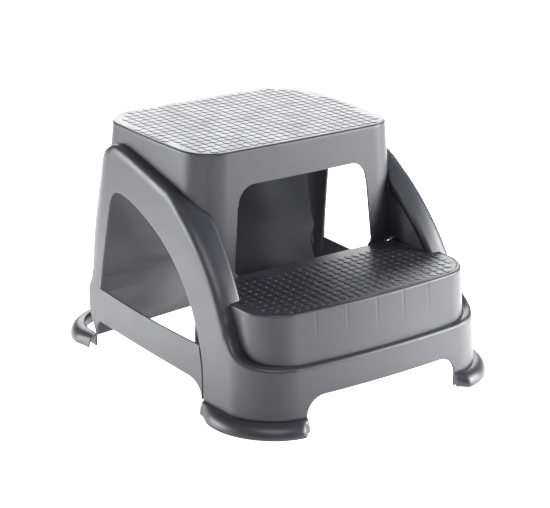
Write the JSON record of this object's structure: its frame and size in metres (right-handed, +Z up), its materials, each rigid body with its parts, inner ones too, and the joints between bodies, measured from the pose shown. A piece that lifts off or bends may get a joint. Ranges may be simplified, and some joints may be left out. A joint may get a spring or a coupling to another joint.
{
  "type": "step stool",
  "caption": "Rigid moulded plastic stool with a low front step, a square upper deck, an arched frame on each side and splayed feet.",
  "frame": {"origin": "middle of the footprint, on the floor", "axes": "+Z up, +X to the right of the person stepping up, who steps up towards +Y"},
  "size_m": [0.4504, 0.53, 0.33],
  "materials": {
    "body": "satin moulded polypropylene, anthracite grey",
    "pad": "matte black rubber"
  },
  "bodies": {
    "root": {"seat_shell": "body", "step_shell": "body", "seat_ribs": "body", "step_ribs": "body", "front_plinth": "body", "rear_panel": "body", "left_side_frame": "body", "left_cheek": "body", "left_stretcher": "body", "front_left_foot": "body", "front_left_foot_pad": "pad", "rear_left_foot": "body", "rear_left_foot_pad": "pad", "right_side_frame": "body", "right_cheek": "body", "right_stretcher": "body", "front_right_foot": "body", "front_right_foot_pad": "pad", "rear_right_foot": "body", "rear_right_foot_pad": "pad"}
  },
  "joints": []
}
